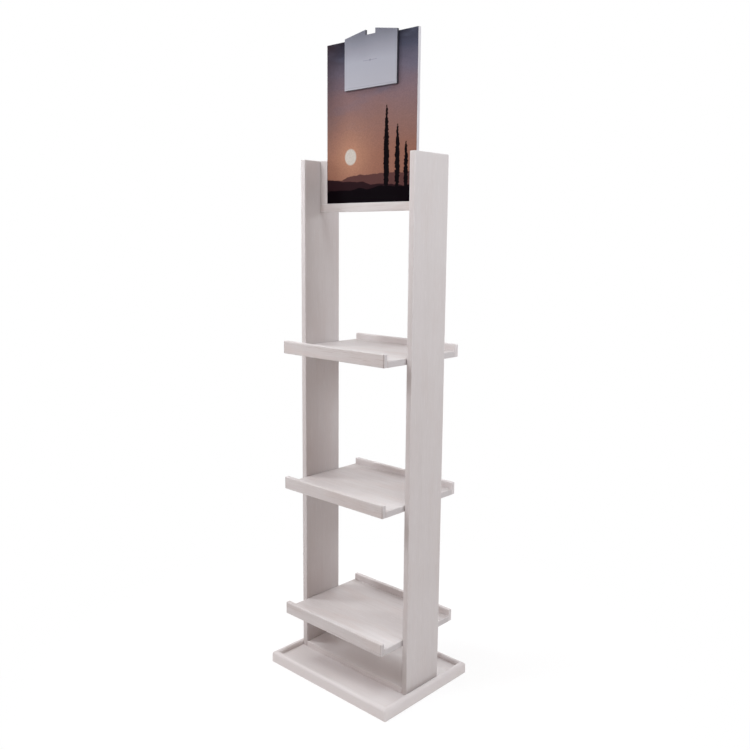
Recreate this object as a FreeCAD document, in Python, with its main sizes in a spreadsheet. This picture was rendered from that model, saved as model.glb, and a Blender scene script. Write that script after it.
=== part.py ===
"""Free-standing display stand of limed boards.

Two uprights stand on a base board with a raised, rounded rim. Between them run a bottom
board and three tray shelves, each with a lip in front and behind. A rebated U-shaped frame
between the heads of the uprights holds a printed header panel with a small gabled sign
plate on it. Lengths are millimetres. X runs along the shelves, Y from front to back and
Z up. The origin is on the floor, under the middle of the stand, and the front faces -Y.
"""
import FreeCAD, Part
import os
import re
import Sketcher

VECTOR = FreeCAD.Vector
UP = VECTOR(0, 0, 1)

# Driving dimensions: alias, size, what it is
SIZES = [
    ("clear_width", 400, "clear width between the uprights"),
    ("board_thickness", 18, "thickness of uprights, shelf boards and header frame"),
    ("upright_depth", 140, "depth of an upright, front to back"),
    ("upright_length", 1510, "length of an upright, standing on the base board"),
    ("base_thickness", 22, "thickness of the base board"),
    ("base_margin", 2, "base board beyond the outer face of each upright"),
    ("base_depth", 328, "depth of the base board, front to back"),
    ("rim_thickness", 18, "thickness of the rim round the base board"),
    ("rim_height", 34, "height of the rim from the floor"),
    ("bottom_board_thickness", 18, "thickness of the board on the base"),
    ("bottom_board_gap", 0.3, "gap at each end of the bottom board"),
    ("low_shelf_underside", 166, "underside of the low shelf above the floor"),
    ("middle_shelf_underside", 565, "underside of the middle shelf above the floor"),
    ("top_shelf_underside", 975, "underside of the top shelf above the floor"),
    ("shelf_board_depth", 288, "depth of a shelf board without its lips"),
    ("shelf_end_gap", 1.5, "gap between a shelf's end and the upright"),
    ("lip_thickness", 14, "thickness of a shelf lip"),
    ("lip_height", 37, "height of a shelf lip"),
    ("board_round", 1.5, "edge radius of the boards"),
    ("lip_round", 2.5, "edge radius of the lips"),
    ("frame_round", 1, "edge radius of the header frame"),
    ("stile_width", 29, "width of a header stile seen from the front"),
    ("stile_length", 124, "length of a header stile above the rail"),
    ("rail_height", 24, "height of the header rail seen from the front"),
    ("rebate_width", 8, "width of the ledge behind the header panel"),
    ("panel_thickness", 10, "thickness of the header panel"),
    ("panel_setback", 1, "header panel behind the front of its frame"),
    ("panel_side_gap", 0.5, "gap at each side of the header panel"),
    ("panel_height", 443, "height of the header panel"),
    ("plate_width", 196, "width of the sign plate"),
    ("plate_side_height", 139, "height of the sign plate's upright sides"),
    ("plate_gable_rise", 16.5, "rise of the sign plate's gable to its apex"),
    ("plate_notch_width", 36, "width of the notch at the apex"),
    ("plate_thickness", 7, "thickness of the sign plate"),
    ("plate_offset", 5, "middle of the sign plate from the middle of the panel"),
    ("plate_height_on_panel", 308.5, "foot of the sign plate above the panel's foot"),
    ("plate_round", 0.6, "edge radius of the sign plate"),
    ("dowel_diameter", 8, "diameter of every dowel"),
    ("dowel_depth_in_upright", 12, "length of a dowel inside an upright"),
    ("shelf_dowel_length", 36, "length of a shelf dowel"),
    ("header_dowel_length", 28, "length of a header dowel"),
    ("shelf_dowel_spacing", 90, "distance between the two dowels at a shelf's end"),
    ("stile_dowel_inset", 30, "dowel in a stile from the stile's end"),
    ("fit_clearance", 0.1, "radial clearance of a dowel or screw in its hole"),
    ("hole_end_clearance", 0.5, "empty depth at the bottom of a blind hole"),
    ("screw_recess", 0.5, "depth of a countersunk head below the surface"),
    ("upright_screw_diameter", 5, "shank of a screw into an upright"),
    ("upright_screw_head", 10, "head of a screw into an upright"),
    ("upright_screw_length", 60, "length of a screw into an upright"),
    ("upright_screw_spacing", 90, "distance between the two screws under an upright"),
    ("bottom_screw_diameter", 4, "shank of a screw into the bottom board"),
    ("bottom_screw_head", 8, "head of a screw into the bottom board"),
    ("bottom_screw_length", 35, "length of a screw into the bottom board"),
    ("bottom_screw_span", 260, "screws into the bottom board, apart along X"),
    ("bottom_screw_spacing", 90, "screws into the bottom board, apart along Y"),
    ("panel_screw_diameter", 3, "shank of a screw into the header panel"),
    ("panel_screw_head", 6, "head of a screw into the header panel"),
    ("panel_screw_head_height", 2, "head height of a screw into the header panel"),
    ("panel_screw_length", 14, "shank length of a screw into the header panel"),
    ("panel_screw_foot", 35, "lower screw in a stile above the rail"),
    ("panel_screw_pitch", 60, "distance between the two screws in a stile"),
    ("rail_screw_span", 200, "distance between the two screws in the rail"),
]
SHELVES = ("low", "middle", "top")
UNSOLVED = 1.0  # any value: the expression bound to it gives the real one

doc = FreeCAD.newDocument("display_stand")
nodes = []


def make_sheet():
    """Keep the driving dimensions in a sheet, one row each."""
    sheet = doc.addObject("Spreadsheet::Sheet", "sizes")
    for row, (alias, size, note) in enumerate(SIZES, start=1):
        sheet.set(f"A{row}", note)
        sheet.set(f"B{row}", str(size))
        sheet.setAlias(f"B{row}", alias)
    doc.recompute()
    return sheet


sheet = make_sheet()


def spell(expression):
    """Write an expression of plain size names in the sheet's own terms."""
    return re.sub(r"[a-z]\w+", lambda name: "sizes." + name.group(), expression)


# Places that several pieces share
UPRIGHT_X = "(clear_width + board_thickness) / 2"
FRAME_FRONT = "-board_thickness / 2"
FRAME_BACK = "board_thickness / 2"
LEDGE_FRONT = "(-board_thickness / 2 + panel_setback + panel_thickness)"
LEDGE_DEPTH = "(board_thickness - panel_setback - panel_thickness)"
RAIL_UNDERSIDE = "(base_thickness + upright_length - stile_length - rail_height)"
RAIL_TOP = "(base_thickness + upright_length - stile_length)"
LEDGE_MIDDLE_X = "(clear_width / 2 - stile_width - rebate_width / 2)"
SHELF_LENGTH = "(clear_width - 2 * shelf_end_gap)"


def bind(thing, **expressions):
    """Bind named properties of an object to expressions of the driving sizes."""
    for name, expression in expressions.items():
        thing.setExpression(name.replace("__", "."), spell(expression))


def place(thing, x="0", y="0", z="0", rotation=FreeCAD.Rotation()):
    """Turn an object and bind its position to the driving sizes."""
    thing.Placement = FreeCAD.Placement(VECTOR(0, 0, 0), rotation)
    bind(thing, Placement__Base__x=x, Placement__Base__y=y, Placement__Base__z=z)


def keep(thing, label):
    """Name a finished sub-part and put it on the list of pieces."""
    thing.Label = label
    nodes.append(thing)


def new_body(label, **position):
    """Start a body for one sub-part."""
    body = doc.addObject("PartDesign::Body", label + "_body")
    place(body, **position)
    keep(body, label)
    return body


def new_sketch(body, plane, name, offset="0"):
    """Start a sketch on one of the body's own planes, moved along its normal."""
    sketch = body.newObject("Sketcher::SketchObject", name)
    support = next(item for item in body.Origin.OriginFeatures if item.Role == plane)
    sketch.AttachmentSupport = [(support, "")]
    sketch.MapMode = "FlatFace"
    bind(sketch, AttachmentOffset__Base__z=offset)
    return sketch


def fix_point(sketch, geometry, point, x, y):
    """Hold a sketch point at two distances from the sketch's origin."""
    for kind, expression in (("DistanceX", x), ("DistanceY", y)):
        index = sketch.addConstraint(Sketcher.Constraint(kind, -1, 1, geometry, point, UNSOLVED))
        sketch.setExpression(f"Constraints[{index}]", spell(expression))


def draw_outline(sketch, corners):
    """Draw a closed outline of straight edges through corners given as expressions."""
    first = sketch.GeometryCount
    count = len(corners)
    numbers = [[sheet.evalExpression(spell(value)) for value in corner] for corner in corners]
    for index in range(count):
        start = VECTOR(*numbers[index], 0)
        end = VECTOR(*numbers[(index + 1) % count], 0)
        sketch.addGeometry(Part.LineSegment(start, end), False)
    for index in range(count):
        following = first + (index + 1) % count
        sketch.addConstraint(Sketcher.Constraint("Coincident", first + index, 2, following, 1))
    for index, (x, y) in enumerate(corners):
        fix_point(sketch, first + index, 1, x, y)


def draw_rectangle(sketch, left, right, low, high):
    """Draw a rectangle between four expressions."""
    draw_outline(sketch, [(left, low), (right, low), (right, high), (left, high)])


def draw_circles(sketch, centres, diameter):
    """Draw equal circles round centres given as expressions."""
    for x, y in centres:
        circle = sketch.addGeometry(Part.Circle(VECTOR(0, 0, 0), UP, UNSOLVED), False)
        fix_point(sketch, circle, 3, x, y)
        index = sketch.addConstraint(Sketcher.Constraint("Diameter", circle, UNSOLVED))
        sketch.setExpression(f"Constraints[{index}]", spell(diameter))


def pad(body, sketch, length):
    """Raise a sketch into a solid along its normal."""
    feature = body.newObject("PartDesign::Pad", sketch.Name + "_pad")
    feature.Profile = sketch
    bind(feature, Length=length)
    sketch.Visibility = False
    return feature


def pocket(body, sketch, depth, along_normal=False):
    """Cut a sketch into the body, against the sketch's normal or along it."""
    doc.recompute()
    before = body.Shape.Volume
    feature = body.newObject("PartDesign::Pocket", sketch.Name + "_cut")
    feature.Profile = sketch
    feature.Reversed = along_normal
    bind(feature, Length=depth)
    doc.recompute()
    if not body.Shape.Volume < before:
        raise RuntimeError(f"{feature.Name} cuts nothing")
    return feature


def round_edges(body, radius):
    """Round every edge that the body has so far."""
    base = body.Tip
    feature = body.newObject("PartDesign::Fillet", body.Name + "_round")
    feature.Base = (base, ["Edge1"])
    feature.UseAllEdges = True
    bind(feature, Radius=radius)
    return feature


def board(label, length, depth, height, radius, **position):
    """Make a rectangular board, with its own origin under the middle of it."""
    body = new_body(label, **position)
    sketch = new_sketch(body, "XY_Plane", label + "_plan")
    draw_rectangle(sketch, f"-{length} / 2", f"{length} / 2", f"-{depth} / 2", f"{depth} / 2")
    pad(body, sketch, height)
    round_edges(body, radius)
    return body


def drill_end(body, name, face_x, side, centres, diameter, depth):
    """Drill blind holes along X into the face that looks to -X or +X."""
    sketch = new_sketch(body, "YZ_Plane", name, offset=face_x)
    draw_circles(sketch, centres, diameter)
    pocket(body, sketch, depth, along_normal=side < 0)


def drill_back(body, name, face_y, centres, diameter, depth):
    """Drill holes forwards, towards -Y, from a face that looks back."""
    sketch = new_sketch(body, "XZ_Plane", name, offset=f"-({face_y})")
    draw_circles(sketch, centres, diameter)
    pocket(body, sketch, depth, along_normal=True)


def drill_up(body, name, centres, diameter, depth):
    """Drill holes upwards from the body's underside."""
    sketch = new_sketch(body, "XY_Plane", name)
    draw_circles(sketch, centres, diameter)
    pocket(body, sketch, depth, along_normal=True)


def countersink_up(body, name, centres, diameter, head):
    """Drill right through from below, with room for countersunk heads."""
    sketch = new_sketch(body, "XY_Plane", name)
    draw_circles(sketch, centres, diameter)
    doc.recompute()
    before = body.Shape.Volume
    hole = body.newObject("PartDesign::Hole", name + "_hole")
    hole.Profile = sketch
    doc.recompute()
    hole.Reversed = True
    hole.DepthType = "ThroughAll"
    hole.HoleCutType = "Countersink"
    hole.HoleCutCountersinkAngle = 90
    bind(hole, Diameter=diameter, HoleCutDiameter=f"{head} + 2 * screw_recess + 2 * fit_clearance")
    doc.recompute()
    if not body.Shape.Volume < before:
        raise RuntimeError(f"{name} cuts nothing")


def pair(spacing):
    """Two places, half a spacing to each side of the middle."""
    return (f"-{spacing} / 2", f"{spacing} / 2")


# Where the fasteners go, each as expressions in the stand's own frame
UPRIGHT_SCREWS = [(f"{sign}{UPRIGHT_X}", y) for sign in ("-", "") for y in pair("upright_screw_spacing")]
BOTTOM_SCREWS = [(x, y) for x in pair("bottom_screw_span") for y in pair("bottom_screw_spacing")]
RAIL_SCREW_Z = "(rail_height + rebate_width / 2)"
STILE_SCREWS_Z = ("panel_screw_foot", "panel_screw_foot + panel_screw_pitch")
STILE_DOWELS_Z = ("stile_dowel_inset", "stile_length - stile_dowel_inset")
DOWEL_HOLE = "dowel_diameter + 2 * fit_clearance"
PANEL_SCREW_HOLE = "panel_screw_diameter + 2 * fit_clearance"


def make_base():
    """Base board, countersunk from below for the screws that hold what stands on it."""
    length = "(clear_width + 2 * board_thickness + 2 * base_margin)"
    body = board("base_board", length, "base_depth", "base_thickness", "frame_round")
    countersink_up(body, "upright_screw_holes", UPRIGHT_SCREWS,
                   "upright_screw_diameter + 2 * fit_clearance", "upright_screw_head")
    countersink_up(body, "bottom_screw_holes", BOTTOM_SCREWS,
                   "bottom_screw_diameter + 2 * fit_clearance", "bottom_screw_head")


def make_rim(side, inner_length, angle, x, y):
    """One length of rim: a rounded top, and both ends mitred.

    Its own X runs along it, and its outer face is at Y = 0 and looks to -Y.
    """
    label = "base_rim_" + side
    length = f"({inner_length} + 2 * rim_thickness)"
    body = new_body(label, x=x, y=y, rotation=FreeCAD.Rotation(UP, angle))
    profile = new_sketch(body, "YZ_Plane", label + "_profile", offset=f"-{length} / 2")
    thick = sheet.rim_thickness
    shoulder = sheet.rim_height - thick / 2
    points = [VECTOR(0, shoulder, 0), VECTOR(0, 0, 0), VECTOR(thick, 0, 0), VECTOR(thick, shoulder, 0)]
    for start, end in zip(points, points[1:]):
        profile.addGeometry(Part.LineSegment(start, end), False)
    crown = VECTOR(thick / 2, sheet.rim_height, 0)
    profile.addGeometry(Part.Arc(points[3], crown, points[0]), False)
    for index in range(3):
        profile.addConstraint(Sketcher.Constraint("Coincident", index, 2, index + 1, 1))
    profile.addConstraint(Sketcher.Constraint("Coincident", 3, 2, 0, 1))
    fix_point(profile, 0, 1, "0", "rim_height - rim_thickness / 2")
    fix_point(profile, 1, 1, "0", "0")
    fix_point(profile, 2, 1, "rim_thickness", "0")
    fix_point(profile, 2, 2, "rim_thickness", "rim_height - rim_thickness / 2")
    radius = profile.addConstraint(Sketcher.Constraint("Radius", 3, thick / 2))
    profile.setExpression(f"Constraints[{radius}]", spell("rim_thickness / 2"))
    pad(body, profile, length)
    mitre = new_sketch(body, "XY_Plane", label + "_mitres")
    for sign in ("-", ""):
        inner = f"{sign}({inner_length} / 2)"
        outer = f"{sign}({inner_length} / 2 + rim_thickness)"
        draw_outline(mitre, [(outer, "0"), (outer, "rim_thickness"), (inner, "rim_thickness")])
    pocket(body, mitre, "rim_height", along_normal=True)


def make_rims():
    """Four lengths of rim round the base board."""
    length = "(clear_width + 2 * board_thickness + 2 * base_margin)"
    side_x = f"({length} / 2 + rim_thickness)"
    end_y = "(base_depth / 2 + rim_thickness)"
    make_rim("front", length, 0, "0", f"-{end_y}")
    make_rim("back", length, 180, "0", end_y)
    make_rim("left", "base_depth", -90, f"-{side_x}", "0")
    make_rim("right", "base_depth", 90, side_x, "0")


def make_bottom_board():
    """Board that lies on the base between the feet of the uprights."""
    body = board("bottom_board", "(clear_width - 2 * bottom_board_gap)", "upright_depth",
                 "bottom_board_thickness", "board_round", z="base_thickness")
    depth = "bottom_screw_length + screw_recess - base_thickness + hole_end_clearance"
    drill_up(body, "bottom_board_holes", BOTTOM_SCREWS,
             "bottom_screw_diameter + 2 * fit_clearance", depth)


def make_upright(name, side):
    """One upright, with dowel holes in its inner face and screw holes in its foot."""
    body = board("upright_" + name, "board_thickness", "upright_depth", "upright_length",
                 "board_round", x=f"{side} * {UPRIGHT_X}", z="base_thickness")
    shelf_heights = [f"{level}_shelf_underside - base_thickness + board_thickness / 2" for level in SHELVES]
    centres = [(y, z) for z in shelf_heights for y in pair("shelf_dowel_spacing")]
    frame_foot = f"{RAIL_UNDERSIDE} - base_thickness"
    centres.append(("0", f"{frame_foot} + rail_height / 2"))
    centres += [("0", f"{frame_foot} + rail_height + {z}") for z in STILE_DOWELS_Z]
    drill_end(body, name + "_dowel_holes", f"{-side} * board_thickness / 2", -side, centres,
              DOWEL_HOLE, "dowel_depth_in_upright + hole_end_clearance")
    depth = "upright_screw_length + screw_recess - base_thickness + hole_end_clearance"
    drill_up(body, name + "_foot_holes", [("0", y) for y in pair("upright_screw_spacing")],
             "upright_screw_diameter + 2 * fit_clearance", depth)


def make_shelf(level):
    """One tray shelf: a board dowelled between the uprights, and a lip front and back."""
    underside = f"{level}_shelf_underside"
    body = board("shelf_board_" + level, SHELF_LENGTH, "shelf_board_depth", "board_thickness",
                 "board_round", z=underside)
    centres = [(y, "board_thickness / 2") for y in pair("shelf_dowel_spacing")]
    depth = "shelf_dowel_length - dowel_depth_in_upright - shelf_end_gap + hole_end_clearance"
    for side, name in ((-1, "left"), (1, "right")):
        drill_end(body, f"{level}_{name}_dowel_holes", f"{side} * {SHELF_LENGTH} / 2", side,
                  centres, DOWEL_HOLE, depth)
    lip_y = "(shelf_board_depth + lip_thickness) / 2"
    for name, sign in (("front", "-"), ("back", "")):
        board(f"shelf_lip_{name}_{level}", SHELF_LENGTH, "lip_thickness", "lip_height",
              "lip_round", y=sign + lip_y, z=underside)


def make_header_rail():
    """Rail between the uprights, with a ledge that stands up behind the panel."""
    body = board("header_rail", "clear_width", "board_thickness", "(rail_height + rebate_width)",
                 "frame_round", z=RAIL_UNDERSIDE)
    rebate = new_sketch(body, "YZ_Plane", "header_rail_rebate", offset="-clear_width / 2")
    draw_rectangle(rebate, FRAME_FRONT, LEDGE_FRONT, "rail_height", "rail_height + rebate_width")
    pocket(body, rebate, "clear_width", along_normal=True)
    depth = "header_dowel_length - dowel_depth_in_upright + hole_end_clearance"
    for side, name in ((-1, "left"), (1, "right")):
        drill_end(body, f"rail_{name}_dowel_hole", f"{side} * clear_width / 2", side,
                  [("0", "rail_height / 2")], DOWEL_HOLE, depth)
    drill_back(body, "rail_screw_holes", FRAME_BACK,
               [(x, RAIL_SCREW_Z) for x in pair("rail_screw_span")], PANEL_SCREW_HOLE, LEDGE_DEPTH)


def make_header_stile(name, side):
    """Stile on the rail against an upright, its foot cut to fit over the rail's ledge."""
    label = "header_stile_" + name
    width = "(stile_width + rebate_width)"
    body = board(label, width, "board_thickness", "stile_length", "frame_round",
                 x=f"{side} * (clear_width - {width}) / 2", z=RAIL_TOP)
    inner = f"{-side} * {width} / 2"
    rebate = new_sketch(body, "XY_Plane", label + "_rebate")
    draw_rectangle(rebate, f"{inner} + {side} * rebate_width", inner, FRAME_FRONT, LEDGE_FRONT)
    pocket(body, rebate, "stile_length", along_normal=True)
    foot = new_sketch(body, "XY_Plane", label + "_foot")
    draw_rectangle(foot, f"-{width} / 2", f"{width} / 2", LEDGE_FRONT, FRAME_BACK)
    pocket(body, foot, "rebate_width", along_normal=True)
    depth = "header_dowel_length - dowel_depth_in_upright + hole_end_clearance"
    drill_end(body, label + "_dowel_holes", f"{side} * {width} / 2", side,
              [("0", z) for z in STILE_DOWELS_Z], DOWEL_HOLE, depth)
    screw_x = f"{inner} + {side} * rebate_width / 2"
    drill_back(body, label + "_screw_holes", FRAME_BACK, [(screw_x, z) for z in STILE_SCREWS_Z],
               PANEL_SCREW_HOLE, LEDGE_DEPTH)


def make_header_panel():
    """Printed panel that stands on the rail, against the ledges of the frame."""
    width = "(clear_width - 2 * stile_width - 2 * panel_side_gap)"
    body = new_body("header_panel", y="-board_thickness / 2 + panel_setback + panel_thickness / 2",
                    z=RAIL_TOP)
    plan = new_sketch(body, "XY_Plane", "header_panel_plan")
    draw_rectangle(plan, f"-{width} / 2", f"{width} / 2", "-panel_thickness / 2", "panel_thickness / 2")
    pad(body, plan, "panel_height")
    stile_screws = [(f"{side} * {LEDGE_MIDDLE_X}", z) for side in (-1, 1) for z in STILE_SCREWS_Z]
    rail_screws = [(x, "rebate_width / 2") for x in pair("rail_screw_span")]
    drill_back(body, "panel_screw_holes", "panel_thickness / 2", stile_screws + rail_screws,
               PANEL_SCREW_HOLE, f"panel_screw_length - {LEDGE_DEPTH} + hole_end_clearance")


def make_sign_plate():
    """Gabled plate on the front of the panel, with a square notch at its apex."""
    body = new_body("sign_plate", x="plate_offset", y="-board_thickness / 2 + panel_setback",
                    z=f"{RAIL_TOP} + plate_height_on_panel")
    face = new_sketch(body, "XZ_Plane", "sign_plate_outline")
    half = "plate_width / 2"
    notch = "plate_notch_width / 2"
    eaves = "plate_side_height"
    shoulder = "plate_side_height + plate_gable_rise * (1 - plate_notch_width / plate_width)"
    draw_outline(face, [("-" + half, "0"), (half, "0"), (half, eaves), (notch, shoulder),
                        (notch, eaves), ("-" + notch, eaves), ("-" + notch, shoulder),
                        ("-" + half, eaves)])
    pad(body, face, "plate_thickness")
    round_edges(body, "plate_round")


def group(label, members):
    """Keep identical fasteners together as one sub-part of separate solids."""
    compound = doc.addObject("Part::Compound", label + "_group")
    compound.Links = members
    keep(compound, label)


def dowel(name, length, side, y, z):
    """One dowel along X, its outer end inside an upright."""
    cylinder = doc.addObject("Part::Cylinder", name)
    bind(cylinder, Radius="dowel_diameter / 2", Height=length)
    start = "-(clear_width / 2 + dowel_depth_in_upright)"
    if side > 0:
        start = f"clear_width / 2 + dowel_depth_in_upright - {length}"
    place(cylinder, x=start, y=y, z=z, rotation=FreeCAD.Rotation(VECTOR(0, 1, 0), 90))
    return cylinder


def turned(name, kind, low_radius, high_radius, low, height):
    """One length of a screw, standing on its own axis."""
    shape = doc.addObject(kind, name)
    if kind == "Part::Cone":
        bind(shape, Radius1=low_radius, Radius2=high_radius, Height=height)
    else:
        bind(shape, Radius=low_radius, Height=height)
    place(shape, z=low)
    return shape


def countersunk_screw(name, size, x, y):
    """One countersunk screw that points up from the underside of the base board."""
    head = f"{size}_head / 2"
    shank = f"{size}_diameter / 2"
    head_height = f"({size}_head - {size}_diameter) / 2"
    tip_height = f"{size}_diameter"
    stretches = [
        turned(name + "_head", "Part::Cone", head, shank, "0", head_height),
        turned(name + "_shank", "Part::Cylinder", shank, shank, head_height,
               f"{size}_length - {head_height} - {tip_height}"),
        turned(name + "_tip", "Part::Cone", shank, "0", f"{size}_length - {tip_height}", tip_height),
    ]
    screw = doc.addObject("Part::MultiFuse", name)
    screw.Shapes = stretches
    place(screw, x=x, y=y, z="screw_recess")
    return screw


def pan_head_screw(name, x, z):
    """One pan-head screw that points forwards from the back of the header frame."""
    shank = "panel_screw_diameter / 2"
    tip_height = "panel_screw_diameter"
    stretches = [
        turned(name + "_head", "Part::Cylinder", "panel_screw_head / 2", shank,
               "-panel_screw_head_height", "panel_screw_head_height"),
        turned(name + "_shank", "Part::Cylinder", shank, shank, "0",
               f"panel_screw_length - {tip_height}"),
        turned(name + "_tip", "Part::Cone", shank, "0", f"panel_screw_length - {tip_height}",
               tip_height),
    ]
    screw = doc.addObject("Part::MultiFuse", name)
    screw.Shapes = stretches
    place(screw, x=x, y="board_thickness / 2", z=z, rotation=FreeCAD.Rotation(VECTOR(1, 0, 0), 90))
    return screw


def make_fasteners():
    """Dowels and screws that hold the stand together."""
    shelf_dowels = []
    for level in SHELVES:
        z = f"{level}_shelf_underside + board_thickness / 2"
        for side in (-1, 1):
            for y in pair("shelf_dowel_spacing"):
                name = f"shelf_dowel_{len(shelf_dowels)}"
                shelf_dowels.append(dowel(name, "shelf_dowel_length", side, y, z))
    group("shelf_dowels", shelf_dowels)
    heights = [f"{RAIL_UNDERSIDE} + rail_height / 2"] + [f"{RAIL_TOP} + {z}" for z in STILE_DOWELS_Z]
    header_dowels = []
    for side in (-1, 1):
        for z in heights:
            name = f"header_dowel_{len(header_dowels)}"
            header_dowels.append(dowel(name, "header_dowel_length", side, "0", z))
    group("header_dowels", header_dowels)
    group("upright_screws", [countersunk_screw(f"upright_screw_{index}", "upright_screw", x, y)
                             for index, (x, y) in enumerate(UPRIGHT_SCREWS)])
    group("bottom_screws", [countersunk_screw(f"bottom_screw_{index}", "bottom_screw", x, y)
                            for index, (x, y) in enumerate(BOTTOM_SCREWS)])
    places = [(f"{side} * {LEDGE_MIDDLE_X}", f"{RAIL_TOP} + {z}") for side in (-1, 1) for z in STILE_SCREWS_Z]
    places += [(x, f"{RAIL_UNDERSIDE} + {RAIL_SCREW_Z}") for x in pair("rail_screw_span")]
    group("panel_screws", [pan_head_screw(f"panel_screw_{index}", x, z)
                           for index, (x, z) in enumerate(places)])


def check_and_write():
    """Refuse a failed feature or a bad shape, then write one file for each sub-part."""
    doc.recompute()
    for item in doc.Objects:
        if "Invalid" in item.State or "Error" in item.State:
            raise RuntimeError(f"{item.Name} failed: {item.State}")
    for node in nodes:
        if node.Shape.isNull() or not node.Shape.isValid():
            raise RuntimeError(f"{node.Label} has a bad shape")
    os.makedirs("parts", exist_ok=True)
    for node in nodes:
        node.Shape.exportStep(os.path.join("parts", node.Label + ".step"))
        box = node.Shape.BoundBox
        print(f"{node.Label}: {len(node.Shape.Solids)} solid(s), {node.Shape.Volume / 1000:.1f} cm3, "
              f"{box.XLength:.1f} x {box.YLength:.1f} x {box.ZLength:.1f} mm")


make_base()
make_rims()
make_bottom_board()
make_upright("left", -1)
make_upright("right", 1)
for shelf_level in SHELVES:
    make_shelf(shelf_level)
make_header_rail()
make_header_stile("left", -1)
make_header_stile("right", 1)
make_header_panel()
make_sign_plate()
make_fasteners()
check_and_write()
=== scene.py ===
# %% [markdown]
# # A display stand of limed boards
#
# A tall shop stand, as a joiner would put it together: two uprights on a rimmed base, three
# shelves with a lip in front and behind, and a printed panel held in a frame at the top.
# The measured model gives every size and place. This lesson dresses it: each board gets
# softly rounded edges and a limed finish, the panel gets its print, and the screws get
# their cross recesses. Lengths are metres, X runs along the shelves and the front faces -Y.

# %% Load the measured model
import math

import bmesh
import bpy
from mathutils import Matrix, Vector


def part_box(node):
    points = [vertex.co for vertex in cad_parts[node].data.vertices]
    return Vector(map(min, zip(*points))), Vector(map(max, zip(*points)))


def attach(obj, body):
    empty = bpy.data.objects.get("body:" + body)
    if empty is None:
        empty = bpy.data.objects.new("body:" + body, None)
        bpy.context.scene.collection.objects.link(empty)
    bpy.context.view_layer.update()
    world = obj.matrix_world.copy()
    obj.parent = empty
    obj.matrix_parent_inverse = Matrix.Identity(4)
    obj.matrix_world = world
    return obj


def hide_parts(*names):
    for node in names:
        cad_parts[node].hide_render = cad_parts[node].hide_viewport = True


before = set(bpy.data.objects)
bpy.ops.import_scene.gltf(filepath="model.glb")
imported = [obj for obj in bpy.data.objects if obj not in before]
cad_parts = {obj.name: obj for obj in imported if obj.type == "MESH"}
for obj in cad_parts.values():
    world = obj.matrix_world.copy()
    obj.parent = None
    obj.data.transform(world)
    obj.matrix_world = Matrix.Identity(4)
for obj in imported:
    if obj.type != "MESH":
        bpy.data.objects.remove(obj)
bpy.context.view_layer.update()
print("measured parts:", len(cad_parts))

# %% [markdown]
# ## The camera
#
# The camera stands where the photograph was taken from: in front of the stand and to its
# right, 1.3 m up, tipped down by nine and a half degrees. It could be placed by eye. Here its
# place and angles were worked out from the corners of the boards, because a fitted camera
# lets every edge be compared with the photograph.

# %% Place the camera
CAMERA_PLACE = Vector((1.61263, -1.713877, 1.308869))
CAMERA_YAW = math.radians(42.903)
CAMERA_PITCH = math.radians(-9.469)
CAMERA_ROLL = math.radians(0.506)
LENS = 39.298


def camera_axes(yaw, pitch, roll):
    """Right, up and backward directions of a camera that looks along +Y when all are 0."""
    ahead = Vector((-math.sin(yaw) * math.cos(pitch), math.cos(yaw) * math.cos(pitch),
                    math.sin(pitch)))
    level = Vector((math.cos(yaw), math.sin(yaw), 0))
    above = level.cross(ahead)
    right = level * math.cos(roll) + above * math.sin(roll)
    up = above * math.cos(roll) - level * math.sin(roll)
    return right, up, -ahead


def show(name, data):
    """Put a mesh, a lamp or a camera in the scene."""
    thing = bpy.data.objects.new(name, data)
    bpy.context.scene.collection.objects.link(thing)
    return thing


camera = show("camera", bpy.data.cameras.new("camera"))
camera_turn = Matrix(camera_axes(CAMERA_YAW, CAMERA_PITCH, CAMERA_ROLL)).transposed()
camera.matrix_world = Matrix.Translation(CAMERA_PLACE) @ camera_turn.to_4x4()
camera.data.sensor_width = 36
camera.data.lens = LENS
camera.data.clip_end = 50
bpy.context.scene.camera = camera
bpy.context.scene.view_settings.view_transform = "Standard"
print("camera at", [round(value, 3) for value in CAMERA_PLACE], "lens", LENS, "mm")

# %% [markdown]
# ## Working with nodes
#
# A material is a small network of nodes. It can be wired by hand in the shader editor, and
# a script can do the same with a few helpers: one adds a node and fills or links its
# sockets, and the others do sums, mix colours, make noise and read attributes.

# %% Helpers for nodes
def paint(red, green, blue):
    """A colour as seen on a screen, 0 to 255, turned into the linear values of a node."""
    shares = [value / 255 for value in (red, green, blue)]
    linear = [s / 12.92 if s <= 0.04045 else ((s + 0.055) / 1.055) ** 2.4 for s in shares]
    return (*linear, 1)


def put(tree, kind, sockets=None, **settings):
    """Add a node, choose its options, and fill or link its sockets by name or number."""
    item = tree.nodes.new(kind)
    for option, value in settings.items():
        setattr(item, option, value)
    for key, value in (sockets or {}).items():
        if isinstance(value, bpy.types.NodeSocket):
            tree.links.new(value, item.inputs[key])
        else:
            item.inputs[key].default_value = value
    return item


def calc(tree, operation, first, second=0.0, clamp=False):
    """One sum, and its answer."""
    sum_node = put(tree, "ShaderNodeMath", {0: first, 1: second}, operation=operation)
    sum_node.use_clamp = clamp
    return sum_node.outputs[0]


def times(tree, first, second, clamp=False):
    """One product, the sum used most."""
    return calc(tree, "MULTIPLY", first, second, clamp)


def remap(tree, value, from_low, from_high, to_low=0.0, to_high=1.0, smooth=False):
    """Stretch a range of values over another one, held at its ends."""
    kind = "SMOOTHSTEP" if smooth else "LINEAR"
    sockets = {"Value": value, 1: from_low, 2: from_high, 3: to_low, 4: to_high}
    return put(tree, "ShaderNodeMapRange", sockets, interpolation_type=kind).outputs[0]


def mix(tree, share, under, over):
    """Mix two colours by a share from 0 to 1."""
    sockets = {0: share, 6: under, 7: over}
    return put(tree, "ShaderNodeMix", sockets, data_type="RGBA").outputs[2]


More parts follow.
